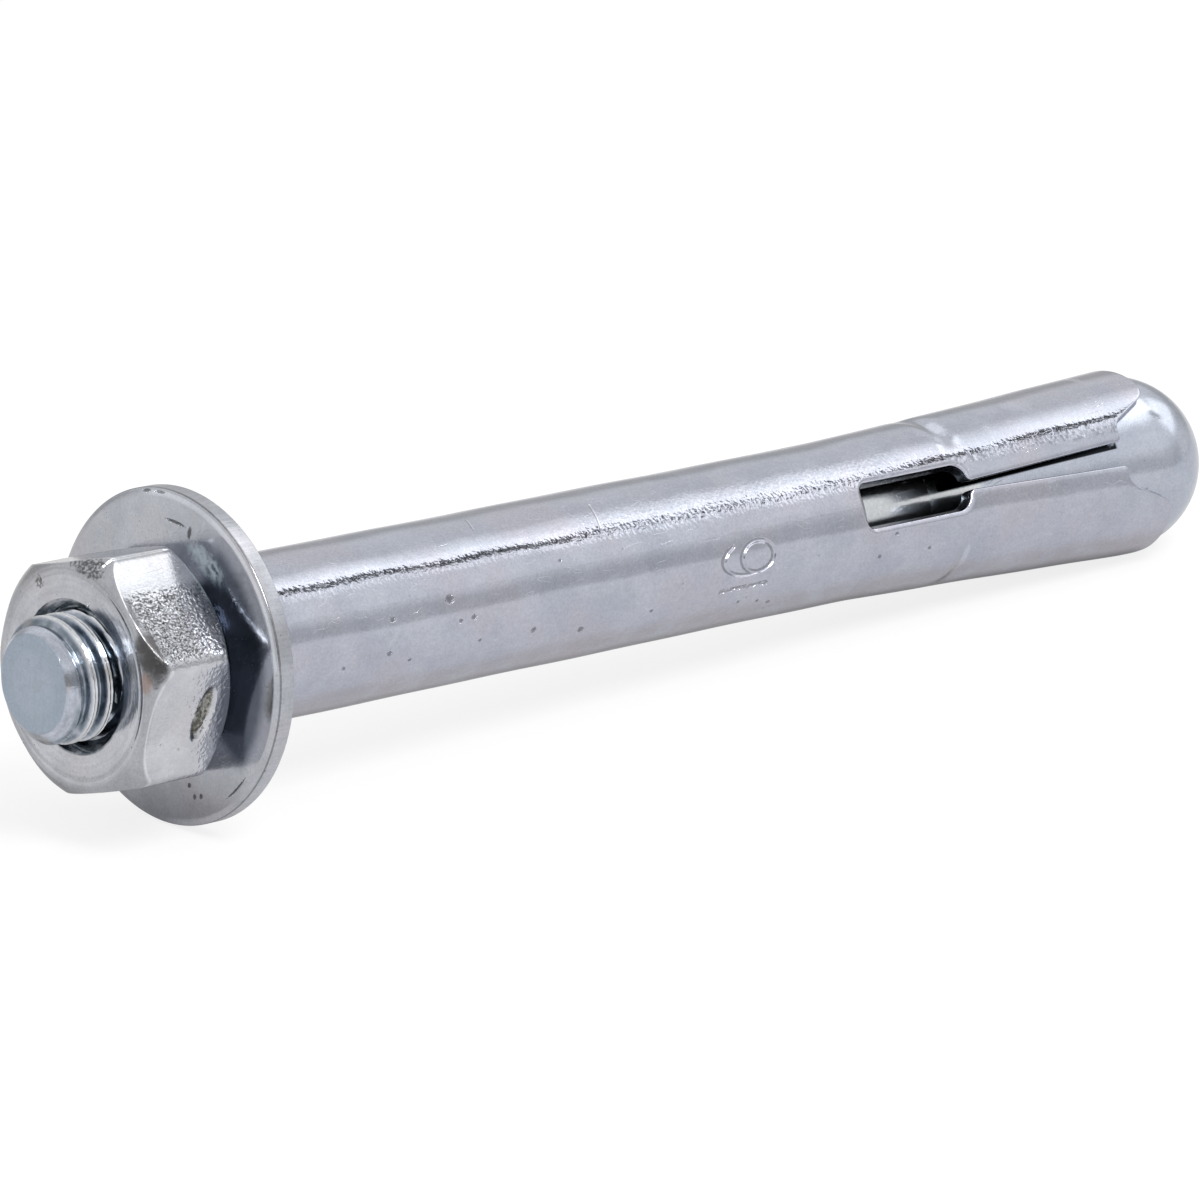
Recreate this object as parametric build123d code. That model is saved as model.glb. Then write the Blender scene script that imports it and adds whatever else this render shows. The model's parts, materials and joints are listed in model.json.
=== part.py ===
# Sleeve anchor: an expander stud inside a rolled, slotted sleeve, held by a washer and a hex nut.
# Sizes are millimetres. Every piece is first built about the vertical axis, with height zero at
# the washer's front face, the nut below it and the expander head at the top. The whole is then
# laid down on its washer rim and its ball end, as it comes to rest on a bench.
import os
from math import asin, atan2, cos, hypot, radians, sin, tan

from build123d import *

# Stud, rolled thread drawn as its crest cylinder
thread_diameter = 11.8
thread_length = 45.0
thread_rise = 0.47  # crest above the plain shank, on the radius
end_chamfer = 1.8
stud_protrusion = 4.6  # thread standing out of the nut
neck_step = 0.68  # neck below the shank, on the radius
neck_length = 5.9
cone_angle = 9.1  # half angle of the expander
head_diameter = 17.2  # ball end of the expander
head_offset = 0.4  # ball centre beyond the petal tips

# Sleeve, rolled from strip
wall = 1.5
bore_clearance = 0.35  # around the thread, on the radius
sleeve_length = 120.2
petal_lip = 0.85  # petal tips standing proud of the ball end
flare_length = 39.2
flare_bend_radius = 60.0
mouth_chamfer = 0.3
seat_clearance = 0.04  # between the expander and the petals that it spreads
petal_count = 3
window_angle = 64.4  # first window and slit, from straight up
window_length = 13.8
window_width = 4.55
window_start = 79.2  # from the sleeve's mouth
window_mouth_radius = 1.1
window_slit_radius = 1.6
notch_depth = 6.0
notch_floor_width = 6.1
notch_spread = 2.55  # widening of the notch on each side, from floor to tip
notch_floor_radius = 0.8
notch_tip_radius = 1.3
seam_width = 0.25
dent_height = 93.8  # from the sleeve's mouth
dent_radius = 1.2
dent_depth = 0.35

# Washer
washer_diameter = 30.8
washer_thickness = 2.0
washer_bore_clearance = 0.85  # around the thread, on the radius
washer_front_radius = 0.7
washer_edge_chamfer = 0.15
drill_clearance = 0.25  # around the sleeve in its drilled hole, on the radius

# Hex nut
nut_across_flats = 20.8
nut_height = 10.7
nut_corner_angle = 74.0
nut_corner_radius = 1.4
nut_chamfer_angle = 45.0
nut_front_inset = 0.4  # round face inside the across-flats circle, on the radius
nut_rear_inset = 1.2
nut_countersink = 1.05
thread_clearance = 0.05
nut_gap = 0.05  # running gap under the turning nut

# Radii that several pieces share
crest_radius = thread_diameter / 2
shank_radius = crest_radius - thread_rise
neck_radius = shank_radius - neck_step
head_radius = head_diameter / 2
bore_radius = crest_radius + bore_clearance
body_radius = bore_radius + wall
tip_radius = head_radius + petal_lip
rim_radius = washer_diameter / 2

# Heights that several pieces share
sleeve_mouth = washer_thickness
sleeve_tip = sleeve_mouth + sleeve_length
notch_floor = sleeve_tip - notch_depth
flare_start = sleeve_tip - flare_length
window_foot = sleeve_mouth + window_start
stud_end = -(nut_gap + nut_height + stud_protrusion)
head_centre = sleeve_tip + head_offset
flare_slope = (tip_radius - body_radius) / flare_length


def revolved(outline):
    """Solid of revolution from an outline of (radius, height) corners."""
    return revolve(Plane.XZ * make_face(Polyline(*outline, close=True)), Axis.Z)


def expander(gap=0.0):
    """Neck, cone and ball end of the stud, grown by a gap. The cone meets the ball in a tangent."""
    ball = head_radius + gap
    tangent_radius = ball * cos(radians(cone_angle))
    tangent_height = head_centre - ball * sin(radians(cone_angle))
    neck = neck_radius
    cone_foot = tangent_height - (tangent_radius - neck) / tan(radians(cone_angle))
    ball_mid = radians(45 - cone_angle / 2)
    arc = ThreePointArc(
        (tangent_radius, tangent_height),
        (ball * cos(ball_mid), head_centre + ball * sin(ball_mid)),
        (0, head_centre + ball),
    )
    side = Polyline(
        (0, head_centre + ball), (0, cone_foot - neck_length), (neck, cone_foot - neck_length),
        (neck, cone_foot), (tangent_radius, tangent_height),
    )
    profile = make_face(side + arc)
    return revolve(Plane.XZ * profile, Axis.Z), cone_foot


def stud():
    """One turned and thread-rolled piece, from the flat end to the ball end."""
    head, cone_foot = expander()
    shank_top = cone_foot - neck_length
    thread_top = stud_end + thread_length
    bar = revolved([
        (0, stud_end), (crest_radius - end_chamfer, stud_end), (crest_radius, stud_end + end_chamfer),
        (crest_radius, thread_top), (shank_radius, thread_top + thread_rise),
        (shank_radius, shank_top), (0, shank_top),
    ])
    return bar + head


def facing(angle):
    """Sketch plane through the axis whose normal points out at an angle from straight up."""
    turn = radians(angle)
    return Plane(origin=(0, 0, 0), x_dir=(-sin(turn), cos(turn), 0), z_dir=(cos(turn), sin(turn), 0))


def petal(angle):
    """A third of the rolled strip, bent out over the expander. It keeps the curve that it was
    rolled to, so the slits beside it, sheared without loss, open towards the tips."""
    overrun = 2 * wall
    bent_line = Polyline(
        (0, sleeve_mouth), (0, flare_start),
        (flare_slope * (flare_length + overrun), sleeve_tip + overrun),
    )
    bend = bent_line.vertices().sort_by(Axis.Y)[1]
    half = radians(180 / petal_count)
    reach = 2 * body_radius
    wedge = make_face(Polyline((0, 0), (reach, reach * tan(half)), (reach, -reach * tan(half)), close=True))
    section = Plane.XY.offset(sleeve_mouth) * (Circle(body_radius) - Circle(bore_radius) & wedge)
    strip = sweep(section, path=Plane.XZ * fillet(bend, flare_bend_radius))
    strip &= Pos(0, 0, sleeve_tip / 2) * Cylinder(2 * tip_radius, sleeve_tip)
    return Rot(0, 0, angle) * strip


def petal_cut(angle):
    """Window and tip notch between two petals."""
    reach = 2 * tip_radius
    window = make_face(Polyline(
        (-window_width / 2, window_foot), (window_width / 2, window_foot),
        (window_width / 2, window_foot + window_length), (-window_width / 2, window_foot + window_length),
        close=True,
    ))
    by_height = window.vertices().sort_by(Axis.Y)
    window = fillet(by_height[:2], window_mouth_radius)
    window = fillet(window.vertices().sort_by(Axis.Y)[-2:], window_slit_radius)
    notch_half = notch_floor_width / 2 + notch_spread
    side = notch_half + 2 * notch_tip_radius
    over = sleeve_tip + 2 * notch_tip_radius
    notch = make_face(Polyline(
        (-side, over), (-side, sleeve_tip), (-notch_half, sleeve_tip),
        (-notch_floor_width / 2, notch_floor), (notch_floor_width / 2, notch_floor),
        (notch_half, sleeve_tip), (side, sleeve_tip), (side, over), close=True,
    ))
    floor_corners = notch.vertices().sort_by(Axis.Y)[:2]
    notch = fillet(floor_corners, notch_floor_radius)
    tip_corners = [
        corner for corner in notch.vertices()
        if abs(corner.Y - sleeve_tip) < 0.01 and abs(abs(corner.X) - notch_half) < 0.01
    ]
    notch = fillet(tip_corners, notch_tip_radius)
    plane = facing(angle)
    return [extrude(plane * shape, reach) for shape in (window, notch)]


def dent(angle):
    """Shallow stake mark across the root of a petal, pressed by a round bar."""
    height = sleeve_mouth + dent_height
    surface = body_radius + flare_slope * max(0.0, height - flare_start)
    bar = Cylinder(dent_radius, 2 * body_radius, rotation=(90, 0, 0))
    return Rot(0, 0, angle) * Pos(surface + dent_radius - dent_depth, 0, height) * bar


def sleeve():
    """Rolled sleeve, split into three petals that the expander spreads."""
    step = 360 / petal_count
    tube = petal(window_angle + step / 2)
    for number in range(1, petal_count):
        tube += petal(window_angle + (number + 0.5) * step)
    tube -= expander(seat_clearance)[0]
    for number in range(petal_count):
        for cut in petal_cut(window_angle + number * step):
            tube -= cut
        tube -= dent(window_angle + (number + 0.5) * step)
    tube -= revolved([
        (body_radius - mouth_chamfer, sleeve_mouth), (body_radius + mouth_chamfer, sleeve_mouth),
        (body_radius + mouth_chamfer, sleeve_mouth + 2 * mouth_chamfer),
    ])
    # The strip's two edges meet along the last slit's line, at the back.
    seam_height = window_foot + window_mouth_radius - sleeve_mouth
    seam = Pos(0, sleeve_mouth + seam_height / 2) * Rectangle(seam_width, seam_height)
    return tube - extrude(facing(window_angle - step) * seam, 2 * tip_radius)


def washer():
    """Punched flat washer with a rolled-over front rim. Its back has a face of its own where the
    held work lies, outside the edge of the drilled hole."""
    hole = crest_radius + washer_bore_clearance
    section = make_face(Polyline(
        (hole, 0), (rim_radius, 0), (rim_radius, washer_thickness),
        (body_radius + drill_clearance, washer_thickness), (hole, washer_thickness), close=True,
    ))
    front_rim = section.vertices().group_by(Axis.Y)[0].sort_by(Axis.X)[-1]
    section = fillet(front_rim, washer_front_radius)
    back_rim = section.vertices().group_by(Axis.Y)[-1].sort_by(Axis.X)[-1]
    section = chamfer(back_rim, washer_edge_chamfer)
    return revolve(Plane.XZ * section, Axis.Z, clean=False)


def hex_nut():
    """Heavy hex nut, chamfered and countersunk on both faces, more deeply on the washer's side."""
    top = -nut_gap
    bottom = top - nut_height
    hexagon = RegularPolygon(nut_across_flats / 2, 6, major_radius=False, rotation=nut_corner_angle)
    hexagon = fillet(hexagon.vertices(), nut_corner_radius)
    prism = extrude(Pos(0, 0, bottom) * hexagon, nut_height)
    front = nut_across_flats / 2 - nut_front_inset
    rear = nut_across_flats / 2 - nut_rear_inset
    # The two cones meet outside the corners.
    rise = tan(radians(nut_chamfer_angle))
    wide = (front + rear + nut_height / rise) / 2
    lens = revolved([
        (0, bottom), (front, bottom), (wide, bottom + (wide - front) * rise), (rear, top), (0, top),
    ])
    bore = crest_radius + thread_clearance
    sink = bore + nut_countersink
    hole = revolved([
        (0, bottom), (sink, bottom), (bore, bottom + nut_countersink),
        (bore, top - nut_countersink), (sink, top), (0, top),
    ])
    return (prism & lens) - hole


def rest_tilt():
    """Slope of the axis when the washer's back edge and the petals or the head touch the ground."""
    spread = flare_slope * (notch_floor - flare_start)
    petals = body_radius + spread * cos(radians(180 / petal_count))
    on_petals = atan2(rim_radius - petals, notch_floor - sleeve_mouth)
    run = head_centre - washer_thickness
    on_head = atan2(rim_radius, run) - asin(head_radius / hypot(rim_radius, run))
    return min(on_petals, on_head)


tilt = rest_tilt()
laid = Plane(origin=(0, 0, 0), x_dir=(sin(tilt), 0, cos(tilt)), z_dir=(cos(tilt), 0, -sin(tilt)))
pieces = {"stud": stud(), "sleeve": sleeve(), "washer": washer(), "hex_nut": hex_nut()}
pieces = {name: laid.location * piece for name, piece in pieces.items()}
bounds = Compound(list(pieces.values())).bounding_box()
ground = Pos(-bounds.center().X, 0, -bounds.min.Z)

os.makedirs("parts", exist_ok=True)
for name, piece in pieces.items():
    export_step(ground * piece, f"parts/{name}.step")
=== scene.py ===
import bmesh
import bpy
import numpy as np
from functools import reduce
from math import atan, cos, hypot, log2, pi, radians, sin, tan
from mathutils import Matrix
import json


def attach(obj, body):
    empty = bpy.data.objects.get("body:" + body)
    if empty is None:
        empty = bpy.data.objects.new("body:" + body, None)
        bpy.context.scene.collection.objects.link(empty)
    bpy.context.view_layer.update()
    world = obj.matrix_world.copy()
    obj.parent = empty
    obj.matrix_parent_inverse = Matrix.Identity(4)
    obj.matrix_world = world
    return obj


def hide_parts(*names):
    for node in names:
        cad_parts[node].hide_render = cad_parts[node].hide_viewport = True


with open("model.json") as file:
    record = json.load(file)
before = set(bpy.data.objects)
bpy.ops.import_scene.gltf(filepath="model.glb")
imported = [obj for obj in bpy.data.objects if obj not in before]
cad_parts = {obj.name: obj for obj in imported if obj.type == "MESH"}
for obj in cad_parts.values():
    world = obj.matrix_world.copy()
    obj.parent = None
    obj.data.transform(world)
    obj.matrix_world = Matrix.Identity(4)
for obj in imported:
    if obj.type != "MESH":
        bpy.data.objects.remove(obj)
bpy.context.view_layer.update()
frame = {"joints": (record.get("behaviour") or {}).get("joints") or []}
print("frame loaded")

# The anchor's own axis: heights in mm from the washer's front face towards the ball end,
# angles in radians from straight up towards the camera's side.
turnJoint = next(joint for joint in frame["joints"] if joint["name"] == "nut_turn")
foot = np.array(turnJoint["pos_m"])
along = np.array(turnJoint["axis"]) / np.linalg.norm(turnJoint["axis"])
upward = np.array([-along[2], 0.0, along[0]])
outward = np.array([0.0, -1.0, 0.0])
mm = 0.001
inDegrees = 180 / pi


def place(radius, angle, height):
    # foot + radius * (cos angle * up + sin angle * out) + height * axis
    parts = np.broadcast_arrays(radius, angle, height)
    radius, angle, height = (np.asarray(part, float)[..., None] for part in parts)
    sideways = np.cos(angle) * upward + np.sin(angle) * outward
    return foot + mm * (radius * sideways + height * along)


def ring(count):
    # one turn in equal steps, the last step left open
    return np.arange(count) * 2 * pi / count


def span(start, end, step):
    # evenly spaced from start to end, about a step apart
    return np.linspace(start, end, max(2, int(round(abs(end - start) / step)) + 1))


def softMin(first, second, width):
    # the lower of two values, with the corner between them rounded over a width
    return np.minimum(first, second) - np.maximum(width - np.abs(first - second), 0) ** 2 / (4 * width)


def smoothStep(low, high, value):
    # 0 below low, 1 above high, an S curve between them; low above high turns it round
    part = np.clip((value - low) / (high - low), 0, 1)
    return part * part * (3 - 2 * part)


def quadsOf(rows, columns, closed):
    # corner numbers of the faces between neighbouring rows; closed joins the last row to the first
    here = np.arange(rows * columns).reshape(rows, columns)
    if closed:
        here = np.vstack([here, here[:1]])
    right = np.roll(here, -1, axis=1)
    return np.stack([here[:-1], right[:-1], right[1:], here[1:]], axis=-1).reshape(-1, 4)


# Distances in metres at which corners merge and slivers go
meshing = dict(merge=2e-7, sliver=1e-8)


def addPiece(name, points, faces, body, node, crease, wallDepth=None):
    # sides that meet at more than crease degrees stay sharp
    mesh = bpy.data.meshes.new(name)
    mesh.from_pydata(points.reshape(-1, 3).tolist(), [], faces)
    if wallDepth is not None:
        layer = mesh.attributes.new("wallDepth", "FLOAT", "POINT")
        layer.data.foreach_set("value", wallDepth.astype(np.float32))
    work = bmesh.new()
    work.from_mesh(mesh)
    bmesh.ops.remove_doubles(work, verts=work.verts, dist=meshing["merge"])
    bmesh.ops.dissolve_degenerate(work, edges=work.edges, dist=meshing["sliver"])
    work.to_mesh(mesh)
    work.free()
    mesh.shade_smooth()
    mesh.set_sharp_from_angle(angle=radians(crease))
    piece = bpy.data.objects.new(name, mesh)
    bpy.context.scene.collection.objects.link(piece)
    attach(piece, body)
    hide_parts(node)
    print(name, len(mesh.polygons), "faces")
    return piece


# Screw thread shared by the stud and the nut. Widths are shares of the pitch; lap is the fine
# groove that rolling leaves along the crest.
thread = dict(crest=5.9, pitch=1.75, depth=0.85, crestWidth=0.26, rootWidth=0.3,
    lap=0.13, lapWidth=0.07, start=-15.1)


def threadRadius(angle, height):
    # crest radius less a rounded trapezoid wave that climbs one pitch in a right-handed turn
    turn = (height - thread["start"]) / thread["pitch"] - angle / (2 * pi)
    away = np.abs(turn - np.round(turn))
    crestEdge = thread["crestWidth"] / 2
    flank = (away - crestEdge) / (0.5 - thread["rootWidth"] / 2 - crestEdge)
    fall = smoothStep(-0.25, 1.15, flank) * thread["depth"]
    return thread["crest"] - fall - thread["lap"] * np.exp(-(away / thread["lapWidth"]) ** 2)


# Stud: rows are finer from its end to fineTo, where the thread shows
studSizes = dict(end=-15.32, endRadius=4.45, endDish=0.05, endRound=0.25, threadTop=29.65, runOut=2.2,
    shank=5.43, shankTop=91.98, neck=4.75, neckRound=0.5, coneFoot=97.88, coneAngle=9.1,
    ball=8.6, ballHeight=122.6, columns=144, fineTo=-10.2, fineStep=0.04, step=0.14)


def makeStud():
    s = studSizes
    angle = ring(s["columns"])[None, :]
    top = s["threadTop"]
    coarse = span(s["fineTo"], top + 0.5, s["step"])[1:]
    heights = np.concatenate([span(s["end"], s["fineTo"], s["fineStep"]), coarse])[:, None]
    chamfer = s["endRadius"] + (heights - s["end"])
    threaded = softMin(threadRadius(angle, heights), chamfer, s["endRound"])
    runOut = smoothStep(top - s["runOut"], top + 0.4, heights)
    threaded = threaded * (1 - runOut) + s["shank"] * runOut
    endFace = s["endRadius"] * np.array([0, 0.3, 0.6, 0.85, 0.95])[:, None] + 0 * angle
    endHeights = s["end"] + s["endDish"] * smoothStep(1.0, 0.6, endFace / s["endRadius"])
    # shank, then a small radius down to the neck
    radii = [s["shank"], s["shank"], s["shank"], s["shank"] - 0.08,
        s["neck"] + 0.15, s["neck"] + 0.03, s["neck"], s["neck"]]
    levels = [top + 0.6, 60, s["shankTop"] - 0.12, s["shankTop"],
        s["shankTop"] + 0.02, s["shankTop"] + 0.2, s["shankTop"] + s["neckRound"], s["coneFoot"] - 0.4]
    # cone, and the ball that it meets in a tangent
    slope = radians(s["coneAngle"])
    arc = np.linspace(-slope, pi / 2, 34)[1:]
    coneLevels = np.linspace(s["coneFoot"] + 0.4, s["ballHeight"] - s["ball"] * sin(slope), 24)
    coneRadii = s["ball"] * cos(slope) - (coneLevels[-1] - coneLevels) * tan(slope)
    radii = np.concatenate([radii, coneRadii, s["ball"] * np.cos(arc)])[:, None] + 0 * angle
    levels = np.concatenate([levels, coneLevels, s["ballHeight"] + s["ball"] * np.sin(arc)])[:, None]
    allRadii = np.concatenate([endFace, threaded, radii])
    allHeights = np.concatenate([endHeights, heights + 0 * angle, levels + 0 * angle])
    quads = quadsOf(*allRadii.shape, False).tolist()
    return addPiece("studPiece", place(allRadii, angle, allHeights), quads, "stud", "stud", 40)


# Hex nut, a little off the bore's centre, with a struck slot on one flat. Its front chamfer leaves
# the face level and steepens as it falls by frontFall over a width of frontWide.
nutSizes = dict(apothem=10.4, corner=74.0, cornerRound=1.4, crown=0.1, bottom=-10.75, top=-0.05,
    front=9.4, frontFall=1.75, frontWide=2.35, frontPower=2.6, rear=8.9, rearRise=1.19, soft=0.1,
    sink=7.0, sinkDepth=1.0, bore=5.95, root=5.02, offset=0.22, offsetWay=160.0, columns=480,
    sideStep=0.13, boreStep=0.14,
    slot=dict(flat=104.0, height=-4.2, across=-0.5, long=2.5, wide=0.95, lean=0.16, deep=0.45))


def hexRadius(angle):
    # out to a hexagon with rounded corners: an arc near each corner, a flat between
    s = nutSizes
    away = np.radians(np.abs((np.degrees(angle) - s["corner"] + 30) % 60 - 30))
    centre = (s["apothem"] - s["cornerRound"]) / cos(pi / 6)
    rest = np.clip(s["cornerRound"] ** 2 - (centre * np.sin(away)) ** 2, 0, None)
    arc = centre * np.cos(away) + np.sqrt(rest)
    flat = s["apothem"] / np.cos(pi / 6 - away)
    # the flats are a trifle crowned: onFlat is 0 at a flat's middle
    onFlat = np.tan(pi / 6 - away) * 2 * cos(pi / 6)
    onArc = away < pi / 6 - atan(centre / 2 / s["apothem"])
    return np.where(onArc, arc, flat) - s["crown"] * np.minimum(onFlat, 1) ** 2


def makeNut():
    # rows run along the outside to the rear, in over the rear face, through the bore, and out over
    # the front face
    s = nutSizes
    angle = ring(s["columns"])[None, :]
    zero = 0 * angle
    tall = s["top"] - s["bottom"]
    fine = s["frontFall"] * np.linspace(0, 1, 23) ** s["frontPower"]
    depth = np.concatenate([fine, span(s["frontFall"], tall, s["sideStep"])[1:]])[:, None]
    front = s["front"] + s["frontWide"] * (depth / s["frontFall"]) ** (1 / s["frontPower"])
    rear = s["rear"] + s["rearRise"] * (tall - depth)
    side = softMin(softMin(hexRadius(angle), front, s["soft"]), rear, s["soft"])
    struck = s["slot"]
    fromFlat = angle - radians(struck["flat"])
    across = hexRadius(angle) * np.sin(fromFlat) - struck["across"]
    axial = s["bottom"] + depth - struck["height"] + across * struck["lean"]
    inSlot = np.hypot(axial / struck["wide"], across / struck["long"])
    side = side - struck["deep"] * smoothStep(1.12, 0.72, inSlot) * (np.cos(fromFlat) > 0.8)
    boreHeights = span(s["top"] - s["sinkDepth"], s["bottom"] + s["sinkDepth"], s["boreStep"])[:, None]
    bore = np.maximum(threadRadius(angle, boreHeights) + 0.06, s["root"])
    sinkStep = np.linspace(0, 1, 6)[:, None] * (s["sink"] - s["bore"])
    outwards = np.linspace(0, 1, 8)[1:, None]
    inwards = outwards[::-1][1:]
    sink = s["sink"] - sinkStep + zero
    rearFace = s["sink"] + (s["rear"] - s["sink"]) * inwards + zero
    frontFace = s["sink"] + (s["front"] - s["sink"]) * outwards[:-1] + zero
    radii = np.concatenate([side, rearFace, sink, bore, sink[::-1], frontFace])
    heights = np.concatenate([s["bottom"] + depth, s["top"] + 0 * inwards, s["top"] - sinkStep,
        boreHeights, s["bottom"] + sinkStep[::-1], s["bottom"] + 0 * inwards]) + zero
    # the outside stands off the bore's centre
    share = np.concatenate([1 + 0 * depth, inwards, 0 * sinkStep, 0 * boreHeights, 0 * sinkStep,
        outwards[:-1]])
    way = radians(s["offsetWay"])
    aside = cos(way) * upward + sin(way) * outward
    points = place(radii, angle, heights) + (mm * s["offset"] * share)[..., None] * aside
    quads = quadsOf(*radii.shape, True).tolist()
    return addPiece("nutPiece", points, quads, "nut", "hex_nut", 38)


# Washer: its face rolls over gently, then turns a small corner onto the punched edge
washerSizes = dict(hole=6.75, rim=15.4, thickness=2.0, rollWidth=0.55, rollFall=0.2, cornerRound=0.16,
    backRound=0.2, seat=7.9, columns=240)


def makeWasher():
    # a profile turned round the axis, from the hole's front edge out and back
    s = washerSizes
    angle = ring(s["columns"])[None, :]
    turn = np.linspace(0, pi / 2, 9)
    roll = np.linspace(0, 1, 9)
    corner = s["cornerRound"]
    flatRadius = s["rim"] - corner - s["rollWidth"] * (1 - roll)
    faceRadii = np.linspace(s["hole"] + 0.2, flatRadius[0], 36)
    backRadii = s["rim"] - s["backRound"] * (1 - np.cos(turn))
    backHeights = s["thickness"] - s["backRound"] * (1 - np.sin(turn))
    holeRadii = [s["seat"], s["hole"] + 0.1, s["hole"], s["hole"], s["hole"] + 0.06]
    holeHeights = [s["thickness"], s["thickness"], s["thickness"] - 0.1, 0.2, 0.06]
    radii = np.concatenate([faceRadii, flatRadius[1:], s["rim"] - corner * (1 - np.sin(turn)),
        backRadii, holeRadii])[:, None]
    heights = np.concatenate([0 * faceRadii, s["rollFall"] * roll[1:] ** 2,
        s["rollFall"] + corner * (1 - np.cos(turn)), backHeights, holeHeights])[:, None]
    quads = quadsOf(len(radii), s["columns"], True).tolist()
    points = place(radii + 0 * angle, angle, heights + 0 * angle)
    return addPiece("washerPiece", points, quads, "sleeve", "washer", 40)


# Sleeve: three petals of one rolled strip. across is the petal's own angle from its middle, and far
# is a distance that stands for no edge nearby.
sleeveSizes = dict(mouth=2.0, tip=122.2, outer=7.75, wall=1.5, petals=3, window=64.4,
    flareStart=83.0, slope=1.7 / 39.2, bend=1.35, bow=0.3, bowShare=0.12,
    windowWidth=4.55, windowFoot=81.2, windowLength=13.8, footRound=1.1, slitRound=1.6,
    notchFloor=116.2, notchWidth=6.1, notchSpread=2.55, notchRound=0.8, tipRound=1.3,
    seam=0.25, dent=95.0, dentDepth=0.28, dentReach=1.05, wornBy=0.035,
    flatDepth=0.35, flatTurn=42, flatWide=0.24, edge=0.16, clear=0.045, thinnest=0.012,
    columns=64, far=9.0)


def expanderRadius(height):
    # outside of the neck, cone and ball
    s = studSizes
    slope = radians(s["coneAngle"])
    coneEnd = s["ballHeight"] - s["ball"] * sin(slope)
    cone = s["ball"] * cos(slope) - (coneEnd - height) * tan(slope)
    ball = np.sqrt(np.clip(s["ball"] ** 2 - (height - s["ballHeight"]) ** 2, 0, None))
    return np.where(height > coneEnd, ball, np.maximum(cone, s["neck"]))


def petalSpread(height, petal):
    # how far a petal is bent out from the axis; each bows in before its tip, the one at the back most
    s = sleeveSizes
    run = height - s["flareStart"]
    spread = s["slope"] * (np.sqrt(run ** 2 + s["bend"] ** 2) + run) / 2
    share = np.where(petal == 1, 1.0, s["bowShare"])
    return spread - s["bow"] * smoothStep(90, 101, height) * smoothStep(121, 113, height) * share


def cornered(first, second, radius):
    # the lower of two distances, with their outer corner rounded
    inside = (first < radius) & (second < radius)
    rounded = radius - np.hypot(radius - first, radius - second)
    return np.where(inside, rounded, np.minimum(first, second))


def hollowed(first, second, radius):
    # distance from the hollow where both values are below 0, its corners rounded
    first, second = first + radius, second + radius
    outside = np.hypot(np.maximum(first, 0), np.maximum(second, 0))
    return outside + np.minimum(np.maximum(first, second), 0) - radius


def metalDepth(petal, across, height):
    # distance in mm from the nearest edge of the strip, below 0 in its windows, slits, notches and seam
    s = sleeveSizes
    toEdge = pi / s["petals"] - np.abs(across)
    arc = toEdge * s["outer"]
    aside = s["outer"] * np.sin(toEdge) + sin(pi / s["petals"]) * petalSpread(height, petal)
    middle = s["windowFoot"] + s["windowLength"] / 2
    corner = np.where(height < middle, s["footRound"], s["slitRound"])
    lengthwise = np.abs(height - middle) - s["windowLength"] / 2
    window = hollowed(aside - s["windowWidth"] / 2, lengthwise, corner)
    lean = atan(s["notchSpread"] / (s["tip"] - s["notchFloor"]))
    beside = (aside - s["notchWidth"] / 2) * cos(lean) - (height - s["notchFloor"]) * sin(lean)
    notch = hollowed(beside, s["notchFloor"] - height, s["notchRound"])
    slit = np.where(height > middle, arc, s["far"])
    atSeam = ((petal == 2) & (across < 0)) | ((petal == 0) & (across > 0))
    seam = np.where(atSeam & (height < middle), arc - s["seam"] / 2, s["far"])
    mouth = np.minimum(height - s["mouth"], s["far"])
    tip = cornered(notch, s["tip"] - height, s["tipRound"])
    return np.minimum.reduce([tip, window, slit, seam, mouth])


def sleevePoint(petal, across, height, level):
    # level 0 is the outside and 1 the bore; the bore lies on the expander where the petal is spread
    s = sleeveSizes
    centre = radians(s["window"] + 60) + petal * 2 * pi / 3
    dent = np.exp(-((height - s["dent"]) / s["dentReach"]) ** 2) \
        * smoothStep(5.0, 2.2, np.abs(across) * s["outer"])
    wave = 0.02 * np.sin(height / 5.1 + 2 * across + petal) \
        + 0.015 * np.sin(height / 2.3 - 5 * across + 2 * petal)
    # the tube is a trifle flatter beside the light's line near its mouth
    beside = np.angle(np.exp(1j * (across + centre - radians(s["flatTurn"]))))
    flatter = s["flatDepth"] * beside * np.exp(-(beside / s["flatWide"]) ** 2) * smoothStep(50, 5, height)
    outer = s["outer"] - (wave + s["wornBy"]) * smoothStep(2, 12, height) - s["dentDepth"] * dent - flatter
    radius = outer - level * s["wall"]
    x, y = radius * np.cos(across) + petalSpread(height, petal), radius * np.sin(across)
    reach, angle = np.hypot(x, y), np.arctan2(y, x)
    thinnest = s["thinnest"] * (1 - level) * (height > s["flareStart"])
    reach = np.maximum(reach, expanderRadius(height) + s["clear"] + thinnest)
    return place(reach, angle + centre, height)


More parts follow.
